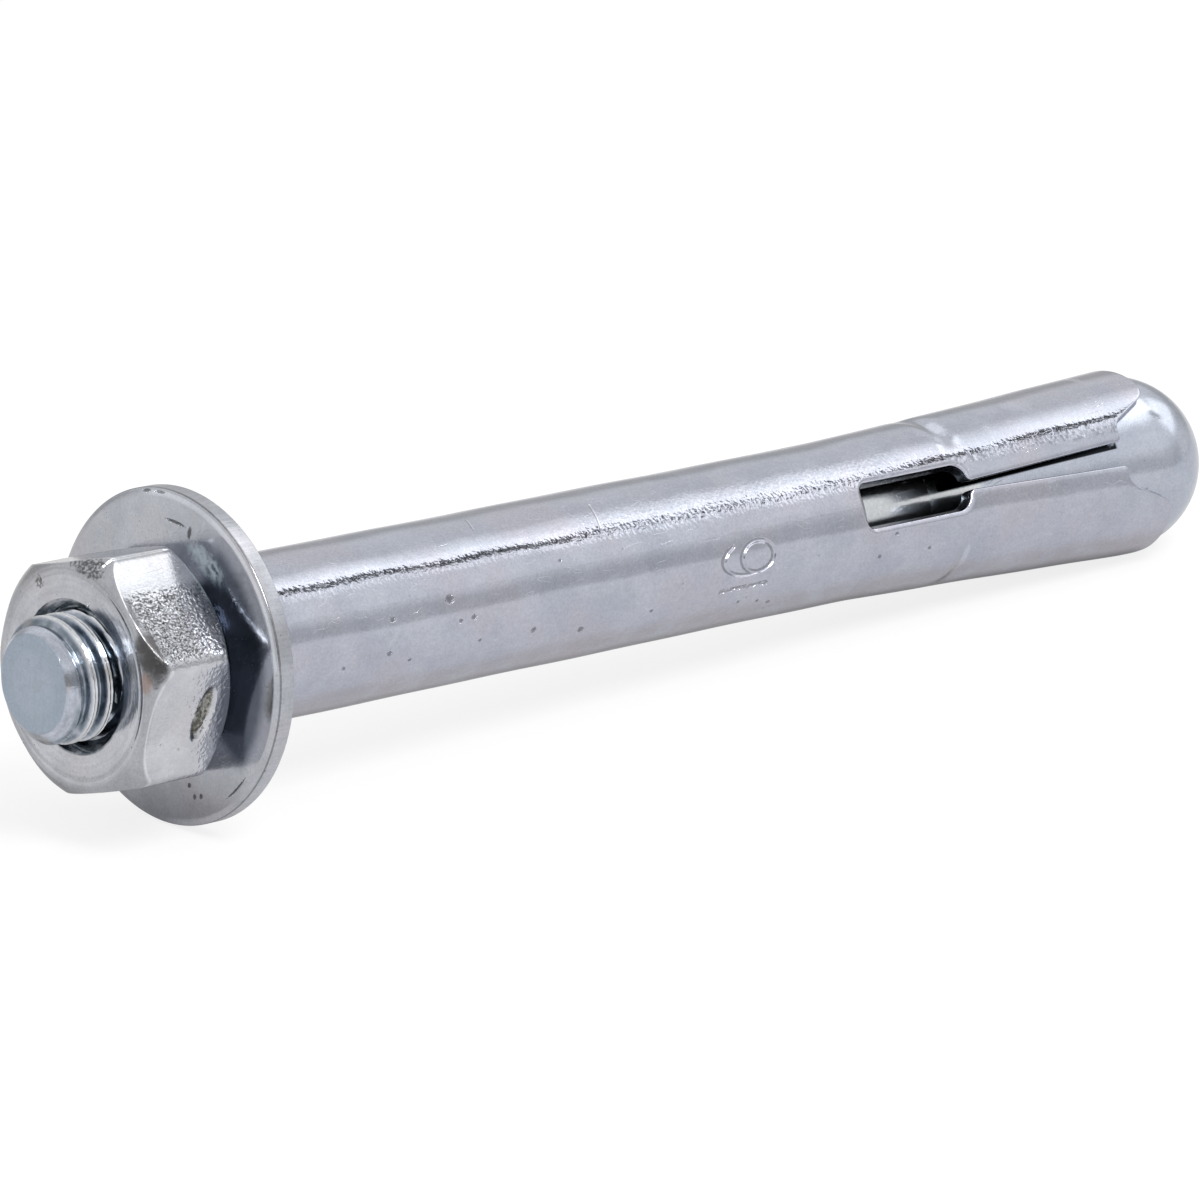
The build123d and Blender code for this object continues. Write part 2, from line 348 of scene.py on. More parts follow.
def trimmed(petal, across, height, levels):
    # corners near the strip's edges slide onto them, and those beyond aren't kept
    s = sleeveSizes
    gaps = np.diff(levels, prepend=levels[0] - 1, append=levels[-1] + 1)
    rowStep = np.minimum(gaps[:-1], gaps[1:])[None, :, None]
    columnStep = 2 * pi / s["petals"] / s["columns"] * s["outer"]
    rise, swing = 0.01, 0.001
    for turn in range(3):
        depth = metalDepth(petal, across, height) - s["edge"]
        # slopes of the distance along the axis and round it
        higher, lower = metalDepth(petal, across, height + rise), metalDepth(petal, across, height - rise)
        ahead, behind = metalDepth(petal, across + swing, height), metalDepth(petal, across - swing, height)
        slope = [(higher - lower) / (2 * rise), (ahead - behind) / (2 * swing * s["outer"])]
        size = np.maximum(slope[0] ** 2 + slope[1] ** 2, 0.2)
        if turn == 0:
            reach = 0.499 * np.maximum(np.abs(slope[0]) * rowStep, np.abs(slope[1]) * columnStep)
            near = np.abs(depth) < reach
        height = height - np.where(near, depth * slope[0] / size, 0)
        across = across - np.where(near, depth * slope[1] / size / s["outer"], 0)
    return across, height, near | (depth > 0), slope


def gridFaces(kept):
    # whole faces, and triangles where one corner of a face is gone
    here = np.arange(kept.size).reshape(kept.shape)
    corners = np.stack([here[:, :-1, :-1], here[:, :-1, 1:], here[:, 1:, 1:], here[:, 1:, :-1]], -1)
    corners = corners.reshape(-1, 4)
    held = kept.reshape(-1)[corners]
    three = corners[held.sum(1) == 3]
    lost = np.argmin(kept.reshape(-1)[three], axis=1)
    triangles = np.stack([three[np.arange(len(three)), (lost + step) % 4] for step in (1, 2, 3)], -1)
    return corners[held.all(1)], triangles


def freeBorder(shell, quads, triangles):
    # sides that only one face uses, once the petals' shared corners count as one
    _, same = np.unique(np.round(shell * 1e7).astype(np.int64), axis=0, return_inverse=True)
    same = same.reshape(-1)
    sides = np.concatenate([np.stack([faces, np.roll(faces, -1, 1)], -1).reshape(-1, 2)
        for faces in (quads, triangles)])
    key = np.sort(same[sides], axis=1)
    _, first, times = np.unique(key, axis=0, return_index=True, return_counts=True)
    border = sides[first[times == 1]]
    return border[same[border[:, 0]] != same[border[:, 1]]]


def makeSleeve():
    s = sleeveSizes
    # finer rows round the windows and notches
    levels = np.concatenate([[s["mouth"]], span(s["mouth"] + s["edge"], 4, 0.4), span(4, 80, 1.25)[1:],
        span(80, 97, 0.25)[1:], span(97, 114, 0.5)[1:], span(114, s["tip"], 0.2)[1:]])
    half = pi / s["petals"]
    columns = np.linspace(-half, half, s["columns"] + 1)
    petal, height, across = np.meshgrid(np.arange(s["petals"]), levels, columns, indexing="ij")
    across, height, kept, slope = trimmed(petal, across, height, levels)
    quads, triangles = gridFaces(kept)
    flat = [part.reshape(-1) for part in (petal, across, height)]
    shell, bore = sleevePoint(*flat, 0), sleevePoint(*flat, 1)
    border = freeBorder(shell, quads, triangles)
    # the rounded edge: each step moves a border corner towards the edge and down the wall
    number, column = np.unique(border, return_inverse=True)
    column = column.reshape(-1, 2)
    rimPetal, rimAcross, rimHeight = (part[number] for part in flat)
    pushHeight = slope[0].reshape(-1)[number] * s["edge"]
    pushAcross = slope[1].reshape(-1)[number] * s["edge"] / s["outer"]
    turns = np.linspace(0, pi / 2, 4)[1:]
    rounding = [(sin(turn), (1 - cos(turn)) * s["edge"] / s["wall"]) for turn in turns]
    steps = rounding + [(out, 1 - level) for out, level in rounding[::-1]]
    rows = [sleevePoint(rimPetal, rimAcross - out * pushAcross, rimHeight - out * pushHeight, level)
        for out, level in steps]
    count = kept.size
    lines = [border, *(2 * count + row * len(number) + column for row in range(len(rows))), border + count]
    strips = [np.stack([close[:, 1], close[:, 0], far[:, 0], far[:, 1]], -1)
        for close, far in zip(lines[:-1], lines[1:])]
    quads = np.concatenate([quads, quads[:, ::-1] + count, *strips])
    triangles = np.concatenate([triangles, triangles[:, ::-1] + count])
    wallDepth = np.repeat([0, 1] + [level for out, level in steps], [count] * 2 + [len(number)] * len(steps))
    points = np.concatenate([shell, bore, *rows])
    faces = [*quads.tolist(), *triangles.tolist()]
    return addPiece("sleevePiece", points, faces, "sleeve", "sleeve", 50, wallDepth)


stud = makeStud()
nut = makeNut()
washer = makeWasher()
sleeve = makeSleeve()


class Wire:
    # a node's output that can stand in ordinary arithmetic
    def __init__(self, tree, socket):
        self.tree, self.socket = tree, socket

    def maths(self, operation, first, second=None):
        values = {0: first} if second is None else {0: first, 1: second}
        return addNode(self.tree, "ShaderNodeMath", {"operation": operation}, values)

    def __add__(self, other):
        return self.maths("ADD", self, other)

    def __sub__(self, other):
        return self.maths("SUBTRACT", self, other)

    def __rsub__(self, other):
        return self.maths("SUBTRACT", other, self)

    def __mul__(self, other):
        return self.maths("MULTIPLY", self, other)

    def __truediv__(self, other):
        return self.maths("DIVIDE", self, other)

    def __pow__(self, other):
        return self.maths("POWER", self, other)

    def __abs__(self):
        return self.maths("ABSOLUTE", self)

    def __or__(self, other):
        # the greater of two
        return self.maths("MAXIMUM", self, other)

    __radd__ = __add__

    def between(self, low, high):
        # 0 below low, 1 above high, smooth between; low above high turns it round
        return addNode(self.tree, "ShaderNodeMapRange", {"interpolation_type": "SMOOTHSTEP"},
            {0: self, 1: low, 2: high})

    def band(self, low, high, soft):
        # 1 between low and high, fading outside them
        return self.between(low - soft, low) * self.between(high + soft, high)


def highest(wires):
    return reduce(Wire.__or__, wires)


def addNode(tree, kind, settings=None, values=None, output=0):
    # settings are the node's own, values go to its inputs, as numbers or wires
    node = tree.nodes.new(kind)
    for key, value in (settings or {}).items():
        setattr(node, key, value)
    for key, value in (values or {}).items():
        if isinstance(value, Wire):
            tree.links.new(value.socket, node.inputs[key])
        else:
            node.inputs[key].default_value = value
    return Wire(tree, node.outputs[output])


class Finish:
    # a metal finish under construction, with the anchor's own coordinates ready in mm and degrees
    def __init__(self, name):
        self.material = bpy.data.materials.new(name)
        self.material.use_nodes = True
        self.tree = self.material.node_tree
        self.shader = next(node for node in self.tree.nodes if node.type == "BSDF_PRINCIPLED")
        here = self.add("ShaderNodeTexCoord", output=3)
        self.where = self.vector("SCALE", {0: here, "Scale": 1 / mm})
        fromFoot = self.vector("SUBTRACT", {0: self.where, 1: tuple(foot / mm)})
        self.up, self.out, self.height = (
            self.vector("DOT_PRODUCT", {0: fromFoot, 1: tuple(way)}, 1) for way in (upward, outward, along))
        self.turn = self.up.maths("ARCTAN2", self.out, self.up) * inDegrees
        self.reach = (self.up * self.up + self.out * self.out) ** 0.5
        self.outlines = {}

    def add(self, kind, settings=None, values=None, output=0):
        return addNode(self.tree, kind, settings, values, output)

    def vector(self, operation, values, output=0):
        return self.add("ShaderNodeVectorMath", {"operation": operation}, values, output)

    def joined(self, x, y, z):
        return self.add("ShaderNodeCombineXYZ", None, {0: x, 1: y, 2: z})

    def noise(self, scale, detail=2.0, rough=0.5, vector=None, shift=0.0):
        vector = vector or self.where
        if shift:
            vector = self.vector("ADD", {0: vector, 1: (shift, shift * 0.7, -shift)})
        values = {"Vector": vector, "Scale": scale, "Detail": detail, "Roughness": rough}
        return self.add("ShaderNodeTexNoise", None, values)

    def patches(self, scale, low, high, shift):
        # soft-edged patches, 0 to 1
        return self.noise(scale, shift=shift).between(low, high)

    def stretched(self, share):
        # coordinates drawn out along the axis, for marks left by rolling and handling
        return self.joined(self.up, self.out, self.height * share)

    def specks(self, scale, size, share):
        # round spots in a share of the cells of a random pattern
        cells = self.add("ShaderNodeTexVoronoi", None, {"Vector": self.where, "Scale": scale})
        colour = Wire(self.tree, cells.socket.node.outputs["Color"])
        pick = self.add("ShaderNodeSeparateColor", None, {0: colour})
        return cells.between(size, size * 0.4) * pick.between(share, share - 0.02)

    def arc(self, turn, radius):
        # distance in mm round the axis from a turn
        return (self.turn - turn) * (radius / inDegrees)

    def across(self, turn):
        # distance in mm from the plane through the axis at a turn
        angle = (self.turn - turn) * (1 / inDegrees)
        return self.reach * angle.maths("SINE", angle)

    def spot(self, first, second, wide, tall, soft, ragged):
        # an oval from its two distances in mm. ragged breaks its outline up, by a noise that
        # spots of a like size share.
        fineness = round(log2(1.6 / min(wide, tall)))
        if fineness not in self.outlines:
            self.outlines[fineness] = self.noise(2.0 ** fineness) - 0.5
        away = (first / wide) ** 2.0 + (second / tall) ** 2.0 + self.outlines[fineness] * ragged
        return away.between(1 + soft, 1 - soft)

    def sideSpot(self, height, turn, *shape):
        # on the sleeve's outside
        return self.spot(self.height - height, self.arc(turn, sleeveSizes["outer"]), *shape)

    def faceSpot(self, radius, turn, *shape):
        # on a face square to the axis
        return self.spot(self.reach - radius, self.arc(turn, radius), *shape)

    def mix(self, factor, first, second, blend="MIX"):
        settings = {"data_type": "RGBA", "blend_type": blend}
        return self.add("ShaderNodeMix", settings, {0: factor, 6: first, 7: second}, 2)


# Bright zinc plate as each piece wears it: colours, roughness, heights of grain and swell in mm, and
# the share of cells that hold a pit
zincLooks = dict(
    stud=dict(light=(0.57, 0.605, 0.69, 1), dark=(0.485, 0.525, 0.61, 1), tint=(0.51, 0.545, 0.625, 1),
        rough=0.13, grain=0.006, swell=0.005, pits=0.1),
    nut=dict(light=(0.61, 0.625, 0.665, 1), dark=(0.52, 0.535, 0.575, 1), tint=(0.57, 0.565, 0.59, 1),
        rough=0.11, grain=0.0075, swell=0.007, pits=0.12),
    washer=dict(light=(0.56, 0.58, 0.63, 1), dark=(0.49, 0.51, 0.555, 1), tint=(0.54, 0.53, 0.565, 1),
        rough=0.13, grain=0.006, swell=0.006, pits=0.22),
    sleeve=dict(light=(0.54, 0.565, 0.645, 1), dark=(0.485, 0.51, 0.59, 1), tint=(0.535, 0.53, 0.595, 1),
        rough=0.11, grain=0.0063, swell=0.006, pits=0.05))


class Zinc(Finish):
    # the plate that all pieces share: clouds and tints, fine mottling, a grain, small pits and scratches
    def __init__(self, name, look):
        super().__init__(name)
        cloud = self.noise(0.22, 3, 0.55).between(0.36, 0.64)
        warm = self.patches(0.13, 0.45, 0.7, 17)
        self.colour = self.mix(warm * 0.75, self.mix(cloud, look["dark"], look["light"]), look["tint"])
        mottle = self.noise(1.4, 4, 0.65, shift=5)
        streak = self.noise(1.6, 3, 0.6, self.stretched(0.12))
        fine = self.noise(4.4, 2, 0.6, shift=29)
        pits = self.specks(0.9, 0.14, look["pits"]) | self.specks(2.1, 0.2, look["pits"]) * 0.7
        line = abs(self.noise(0.9, 1, vector=self.stretched(0.3), shift=31) - 0.5)
        scratched = self.noise(0.35, 1, shift=9).between(0.52, 0.66)
        scratches = line.between(0.006, 0.001) * scratched
        self.shade = 0.67 + mottle * 0.18 + streak * 0.12 + fine * 0.36 - pits * 0.35 + scratches * 0.12
        self.gloss = look["rough"] + mottle * 0.07 + pits * 0.25
        grain = self.noise(2.6, 2, 0.6, shift=3) * look["grain"]
        swell = self.noise(0.45, 2, shift=11) * look["swell"]
        self.relief = grain + swell - scratches * 0.006

    def stain(self, mask, colour):
        self.colour = self.mix(mask, self.colour, colour)

    def done(self):
        # shade multiplies the colour, gloss is the roughness, relief is a height in mm
        grey = self.add("ShaderNodeCombineColor", None, {0: self.shade, 1: self.shade, 2: self.shade})
        colour = self.mix(1.0, self.colour, grey, "MULTIPLY")
        values = {"Height": self.relief, "Distance": mm, "Strength": 1.0}
        normal = self.add("ShaderNodeBump", None, values)
        inputs = self.shader.inputs
        for name, wire in (("Base Color", colour), ("Roughness", self.gloss), ("Normal", normal)):
            self.tree.links.new(wire.socket, inputs[name])
        inputs["Metallic"].default_value = 1.0
        return self.material


# Stains as (strength, colour), among them painted shade, a painted highlight and a painted shadow
studStains = dict(
    # valleyShade is painted shade in the thread's valleys; crest is a painted highlight on the crests,
    # partly burnish
    valleyShade=(0.8, (0.12, 0.16, 0.19, 1)), crest=(0.8, (0.78, 0.79, 0.8, 1)),
    worn=(0.4, (0.42, 0.38, 0.33, 1)), end=(0.85, (0.37, 0.44, 0.52, 1)),
    # shank is the shank painted lighter where it shows through the window, as painted light
    shank=(0.85, (0.78, 0.8, 0.81, 1)), gap=(1.0, (0.015, 0.017, 0.02, 1)))


def paintedGapShadow(plate):
    # a painted shadow on the cone, in the gap under the edge of the upper petal: it fades out under the
    # petal, and breaks up in patches towards the notch
    s = sleeveSizes
    run = plate.height - s["flareStart"]
    spread = (run + (run * run + s["bend"] ** 2) ** 0.5) * (s["slope"] / 2)
    edge = plate.across(s["window"]) + spread * sin(pi / s["petals"]) - (plate.height - 95) * 0.018
    tail = plate.noise(1.1, 3, 0.6, plate.stretched(0.5), shift=51)
    worn = (tail + (s["notchFloor"] - plate.height) * 0.12).between(0.42, 0.62)
    return edge.between(0.3, 0.16) * plate.turn.between(45, 54) * worn * plate.height.band(94, 116, 0.3)


def studFinish():
    # crests lightened as a painted highlight that is partly burnish, valleys darkened as painted shade, a
    # dull blue end face, and the shank inside the sleeve painted lighter as painted light
    plate = Zinc("studZinc", zincLooks["stud"])
    threaded = plate.height.band(-15.25, 29.5, 0.1)
    face = plate.height.between(-15.2, -15.3)
    masks = dict(
        valleyShade=plate.reach.between(5.82, 5.4) * plate.height.band(-14.3, 29.5, 0.3)
            * plate.patches(0.7, 0.15, 0.6, 13),
        crest=plate.reach.between(5.6, 5.85) * threaded,
        worn=plate.patches(0.4, 0.55, 0.68, 41) * threaded,
        end=face,
        shank=plate.height.band(70, 99, 1),
        # gap is near black: a painted shadow under the upper petal's edge
        gap=paintedGapShadow(plate))
    for name, (strength, colour) in studStains.items():
        plate.stain(masks[name] * strength, colour)
    # lines that run round with the thread
    helix = plate.height - plate.turn * (thread["pitch"] / 360)
    lines = plate.noise(2.4, 3, 0.75, plate.joined(helix, plate.turn * 0.01, 0.0), shift=7)
    plate.shade = plate.shade + (lines - 0.5) * threaded * (1 - face) * 1.1
    plate.gloss = plate.gloss + face * 0.2
    plate.relief = plate.relief + plate.noise(3.2, shift=19) * threaded * 0.012
    return plate.done()


# Marks on the nut's chamfer: distance from the axis and turn, size, softness and raggedness
nutMarks = dict(
    corner=(11.0, 67, 1.5, 2.4, 0.7, 1.6), rust=(10.0, 81, 0.6, 0.9, 0.8, 0.8),
    patches=[(10.4, 7, 0.8, 2.0, 0.5, 2.4), (9.1, -33, 0.55, 0.55, 0.5, 2.2)])
nutStains = dict(
    slot=(0.75, (0.34, 0.33, 0.28, 1)), slotPatches=(0.8, (0.09, 0.09, 0.075, 1)),
    slotRimDark=(0.9, (0.06, 0.055, 0.04, 1)), corner=(0.9, (0.08, 0.075, 0.075, 1)),
    patches=(0.85, (0.11, 0.11, 0.11, 1)), rust=(0.6, (0.40, 0.25, 0.19, 1)),
    sink=(1.0, (0.07, 0.10, 0.125, 1)), paintedSpecks=(0.7, (0.06, 0.06, 0.065, 1)))


def struckSlot(plate):
    # 0 at the struck slot's middle, about 1 at its rim, the height in it, and where it may show
    n = nutSizes
    struck = n["slot"]
    across = plate.arc(struck["flat"], n["apothem"]) - struck["across"]
    axial = plate.height - struck["height"] + across * struck["lean"]
    away = ((axial / struck["wide"]) ** 2.0 + (across / struck["long"]) ** 2.0) ** 0.5
    here = plate.turn.band(75, 130, 5) * plate.reach.between(8.0, 9.0)
    return away + (plate.noise(1.5, shift=27) - 0.5) * 0.25, axial, here


def nutFinish():
    plate = Zinc("nutZinc", zincLooks["nut"])
    n = nutSizes
    front = n["bottom"]
    # a line and rings turned on the front face
    facing = plate.height.between(front + 0.4, front + 0.05)
    turned = abs(plate.reach - (n["front"] - 0.05)).between(0.3, 0.05) * facing
    rings = plate.noise(2.2, 2, 0.7, plate.joined(plate.reach, plate.turn * 0.008, 0.0))
    # distance inside the chamfer's curve, from the nut's own centre
    way = radians(n["offsetWay"])
    up, out = plate.up - n["offset"] * cos(way), plate.out - n["offset"] * sin(way)
    reach = (up ** 2.0 + out ** 2.0) ** 0.5
    curve = ((plate.height - front) / n["frontFall"] | 0.0) ** (1 / n["frontPower"]) * n["frontWide"]
    inward = curve + n["front"] - reach
    # the chamfer, for painted shade, and a thin band beside it, for a painted highlight
    chamfer = inward.between(0.12, 0.03) * plate.height.band(front + 0.02, front + 1.9, 0.02)
    arrisHighlight = inward.band(0.05, 0.22, 0.05) * plate.height.band(front + 0.1, front + 2.3, 0.05)
    # dark patches on the chamfer, a dark band round the struck slot's rim, darker at one end, and painted
    # shade in the countersink
    onChamfer = plate.height.between(front + 1.8, front + 1.2)
    corner = plate.faceSpot(*nutMarks["corner"]) * onChamfer
    patches = highest(plate.faceSpot(*mark) for mark in nutMarks["patches"]) * onChamfer
    inSlot, axial, here = struckSlot(plate)
    slot = inSlot.between(0.95, 0.8) * here
    # painted shade: the countersink is darkened as if in shade
    sink = reach.between(n["sink"] + 0.05, n["sink"] - 0.15)
    masks = dict(
        slot=slot,
        slotPatches=slot * plate.patches(2.2, 0.42, 0.56, 16),
        slotRimDark=inSlot.band(0.8, 1.0, 0.12) * here * axial.between(0.9, -0.9),
        corner=corner,
        patches=patches * plate.patches(3.2, 0.36, 0.56, 18),
        rust=plate.faceSpot(*nutMarks["rust"]) * onChamfer,
        sink=sink * (plate.patches(0.9, 0.3, 0.6, 14) * 0.5 + 0.4),
        # painted reflection: dark specks on the upper flat stand for the dark parts of its speckled
        # reflection
        paintedSpecks=plate.noise(4.2, 3, 0.75, shift=8).between(0.51, 0.57) * plate.turn.band(37, 71, 6)
            * plate.height.band(-9.4, -1.5, 0.8))
    for name, (strength, colour) in nutStains.items():
        plate.stain(masks[name] * strength, colour)
    # painted light: the flat with the struck slot is brighter; the chamfer is darkened as painted shade,
    # with a painted highlight along its edge
    lit = plate.turn.band(78, 134, 3) * inward.between(0.05, 0.2) * plate.height.between(-10.4, -10)
    plate.shade = plate.shade - turned * 0.15 + (rings - 0.5) * facing * 0.35 - chamfer * 0.18 \
        + arrisHighlight * 0.25 + lit * 0.12
    # the flats are pebbled, except beside their front edge
    pebbled = plate.height.between(-10.4, -9.2) * plate.reach.between(9.6, 10.2) * plate.turn.between(30, 40)
    pebble = plate.noise(2.6, 1, shift=21) * pebbled
    plate.gloss = plate.gloss + (corner | patches | slot) * 0.2 - pebbled * 0.04
    # the upper flat rolls over towards its upper edge
    fromCorner = plate.arc(44, n["apothem"])
    roll = fromCorner.maths("MINIMUM", fromCorner, 0.0) * plate.turn.between(13, 16)
    plate.relief = plate.relief - roll * roll * 0.0085 + pebble * 0.042 \
        + plate.noise(2.4, shift=4) * slot * 0.2 + rings * facing * 0.01 - turned * 0.04 \
        - (corner | patches) * plate.noise(2.5, shift=6) * 0.05
    return plate.done()


# Nicks and scratches on the washer's face, as on the nut, and a painted reflection of the nut's upper flat,
# with its colour and that of the painted shade beside the nut
washerMarks = dict(
    nicks=[(15.1, -12.6, 0.13, 0.5, 0.5, 1.8), (15.05, -5.5, 0.11, 0.6, 0.5, 1.8),
        (12.75, 4, 0.13, 1.2, 0.6, 2.6), (12.4, 13, 0.55, 0.22, 0.6, 2.6), (14.2, 134, 0.1, 1.5, 0.5, 2.4),
        (12.8, 159, 0.22, 0.22, 0.4, 0.8), (12.9, 155, 0.22, 0.22, 0.4, 0.8),
        (11.7, 161, 0.2, 0.24, 0.4, 0.8)],
    nutFlatReflection=(11.2, 27, 1.0, 2.6, 0.8, 1.8),
    shadeBesideNutColour=(0.88, (0.11, 0.13, 0.165, 1)), nutFlatReflectionColour=(0.8, (0.72, 0.82, 0.85, 1)))


def washerFinish():
    plate = Zinc("washerZinc", zincLooks["washer"])
    m = washerMarks
    face = plate.height.between(0.5, 0.3)
    nicks = highest(plate.faceSpot(*mark) for mark in m["nicks"]) * face
    # a greyer punched edge with fine lines across it, a painted dark line of shade at its corner, and a
    # painted highlight along the roll on its lit side
    edge = plate.reach.between(15.25, 15.36) * plate.height.between(0.25, 0.45)
    lines = plate.noise(3.0, 3, 0.7, plate.stretched(0.08), shift=12)
    rim = plate.height.band(0.27, 0.42, 0.05) * plate.reach.between(15.15, 15.25)
    roll = plate.reach.band(14.75, 15.1, 0.1) * plate.turn.band(-8, 75, 12) * face
    # painted shade and reflection: the face is darkened beside the nut, for the nut's dark reflection and
    # shade on it; and a painted reflection of the nut's upper flat as a pale spot
    shadeBesideNut = plate.reach.between(14.2, 12.6) * plate.turn.band(34, 122, 9) * face
    nutFlatReflection = plate.faceSpot(*m["nutFlatReflection"]) * face
    strength, colour = m["shadeBesideNutColour"]
    plate.stain(shadeBesideNut * strength, colour)
    strength, colour = m["nutFlatReflectionColour"]
    plate.stain(nutFlatReflection * plate.patches(1.6, 0.35, 0.55, 44) * strength, colour)
    plate.shade = plate.shade - nicks * 0.7 + roll * 0.3 + edge * (0.2 - lines * 0.5) - rim * 0.5
    plate.relief = plate.relief - nicks * 0.07 + lines * edge * 0.03
    plate.gloss = plate.gloss + nicks * 0.2 + edge * 0.12 + nutFlatReflection * 0.35
    return plate.done()


# Marks on the sleeve: height in mm and turn in degrees, then sizes in mm. A tick has a width, a length and a
# lean, a painted glint has two sizes and a strength.
sleeveMarks = dict(
    pits=[(27.7, 69.6, 0.48), (20.6, 75.1, 0.36), (28.8, 85.9, 0.22), (30.4, 85, 0.27), (14.8, 103.1, 0.2),
        (20.2, 98.9, 0.26), (38.1, 103.7, 0.3), (44.4, 112, 0.32), (53.2, 108.6, 0.2), (64.9, 117.1, 0.18),
        (67.6, 120.3, 0.2), (69.3, 124.1, 0.22), (82.9, 103, 0.22), (84.9, 88, 0.2), (89.4, 103, 0.2),
        (22.9, 107, 0.18), (31.4, 103, 0.18), (41.9, 59, 0.18)],
    ticks=[(48.7, 33.0, 0.14, 1.9, -0.036), (34.8, 14.3, 0.12, 1.0, -0.05)],
    glintSpots=[(95.6, 13, 0.7, 1.2, 0.5), (94.2, 26, 0.4, 0.7, 0.3), (93.6, 34, 0.35, 0.6, 0.35),
        (117.0, -4.7, 0.5, 0.9, 0.5), (95.0, 117.7, 0.4, 1.3, 0.2), (106.5, 12, 1.6, 1.0, 0.15)],
    bowl=(66.5, 83.5, 2.05, 1.5), spine=(65.3, 83.5, 3.25, 1.6), bar=(61.9, 68.0, 105.0),
    stroke=0.36, stampDepth=0.28,
    # wall and under are the colours of painted shade in the cuts and bore and under the tube
    wall=(0.07, 0.085, 0.1, 1), under=(0.46, 0.425, 0.455, 1))


def stampOf(plate):
    # the plain number 16, read with the anchor's nut end up: a bar, and a bowl closed by a spine
    # that hooks over
    m = sleeveMarks
    outer = sleeveSizes["outer"]

    def groove(away):
        return away.between(m["stroke"], 0.0)

    def oval(height, turn, wide, tall):
        across, around = (plate.height - height) / wide, plate.arc(turn, outer) / tall
        return groove(abs((across ** 2.0 + around ** 2.0) ** 0.5 - 1) * ((wide + tall) / 2))

    side = plate.arc(m["bowl"][1], outer)
    hook = side.between(-0.3, 0.1) | plate.height.between(63.7, 63.3)
    spine = oval(*m["spine"]) * plate.height.between(67.0, 66.4) * hook
    low, high, turn = m["bar"]
    bar = groove(abs(plate.arc(turn, outer))) * plate.height.band(low, high, 0.2)
    # the bar is struck in patches
    struck = plate.patches(1.8, 0.3, 0.6, 5)
    return (oval(*m["bowl"]) | spine | bar * struck) * plate.turn.band(60, 125, 3)


def ticksOf(plate):
    # short scratches that lean across the sleeve
    ticks = []
    for height, turn, wide, tall, lean in sleeveMarks["ticks"]:
        away = abs((plate.height - height) - (plate.turn - turn) * lean)
        half = tall * 7
        within = plate.turn.band(turn - half, turn + half, 1)
        ticks.append(away.between(wide + 0.06, wide - 0.06) * within)
    return highest(ticks)


def fromWindow(plate):
    # distance in mm outside the window's edge
    s = sleeveSizes
    corner = s["slitRound"] - 0.2
    middle = s["windowFoot"] + s["windowLength"] / 2
    aside = (abs(plate.across(s["window"])) - (s["windowWidth"] / 2 - corner)) | 0.0
    lengthwise = (abs(plate.height - middle) - (s["windowLength"] / 2 - corner)) | 0.0
    return (aside * aside + lengthwise * lengthwise) ** 0.5 - corner


def sleeveFinish():
    plate = Zinc("sleeveZinc", zincLooks["sleeve"])
    m = sleeveMarks
    holes = highest(plate.sideSpot(height, turn, size, size * 0.8, 0.8, 3.0)
        for height, turn, size in m["pits"])
    ticks = ticksOf(plate)
    # painted shade: the walls of the cuts and the bore are darkened, more so away from the tip, and dull;
    # the underside is tinted warmer and darkened as painted shade
    depth = plate.add("ShaderNodeAttribute", {"attribute_name": "wallDepth"}, output=2)
    wall = depth.between(0.1, 0.4) * (plate.height.between(115, 112) * 0.6 + 0.3)
    plate.stain(wall, m["wall"])
    plate.stain(plate.turn.band(127, 200, 12) * plate.patches(0.3, 0.2, 0.6, 37) * 0.5, m["under"])
    # pebbled along the line where the tube was handled, coarser and rubbed towards the petals, where the
    # rubbed patches are darkened as painted dark specks of the light's reflection
    shoulder = plate.turn.band(38, 50, 6) * plate.height.band(4, 118, 3)
    coarse = plate.turn.band(26, 48, 9) * plate.height.band(50, 84, 8)
    rubbedWithPaintedSpecks = plate.turn.band(43, 48, 3) * plate.height.band(95, 118, 2) * plate.patches(0.7, 0.4, 0.55, 23)
    pebble = plate.noise(2.6, 1, shift=21)
    # painted highlights: bright spots where the dents and the petal catch the light
    paintedGlint = highest(plate.sideSpot(*mark[:4], 0.95, 2.8) * mark[4] for mark in m["glintSpots"])
    # the punched window's edge is rolled over, with a painted highlight along its outside
    outside = fromWindow(plate)
    here = plate.turn.band(20, 110, 3)
    rim = outside.between(0.5, 0.02) * here
    plate.shade = plate.shade - holes * 0.5 + ticks * 0.25 + paintedGlint \
        - rubbedWithPaintedSpecks * plate.patches(2.6, 0.42, 0.6, 2) * 0.35 + outside.band(0.04, 0.2, 0.06) * here * 0.25
    plate.gloss = plate.gloss + holes * 0.15 + rubbedWithPaintedSpecks * 0.1 - shoulder * 0.05 + wall * 0.2
    plate.relief = plate.relief + pebble * (shoulder * 0.015 + coarse * 0.024 + rubbedWithPaintedSpecks * 0.025) \
        - rim * 0.12 - holes * 0.05 - ticks * 0.04 - stampOf(plate) * m["stampDepth"]
    return plate.done()


stud.data.materials.append(studFinish())
nut.data.materials.append(nutFinish())
washer.data.materials.append(washerFinish())
sleeve.data.materials.append(sleeveFinish())
print("finishes ready")

# Camera at the photograph's place: the washer's front face stands at pin, and the axis runs along
# run, both as the camera sees them (right, up, towards the camera).
photo = dict(lens=265.056, sensor=36.0, nearest=0.01,
    pin=(-38.967, -5.115, -791.787), run=(0.73049726, 0.15193342, -0.66580026))


def standing(sides, spot):
    # a matrix from an object's own three directions and its place
    rows = [[*(side[row] for side in sides), spot[row]] for row in range(3)]
    return Matrix([*rows, [0, 0, 0, 1]])


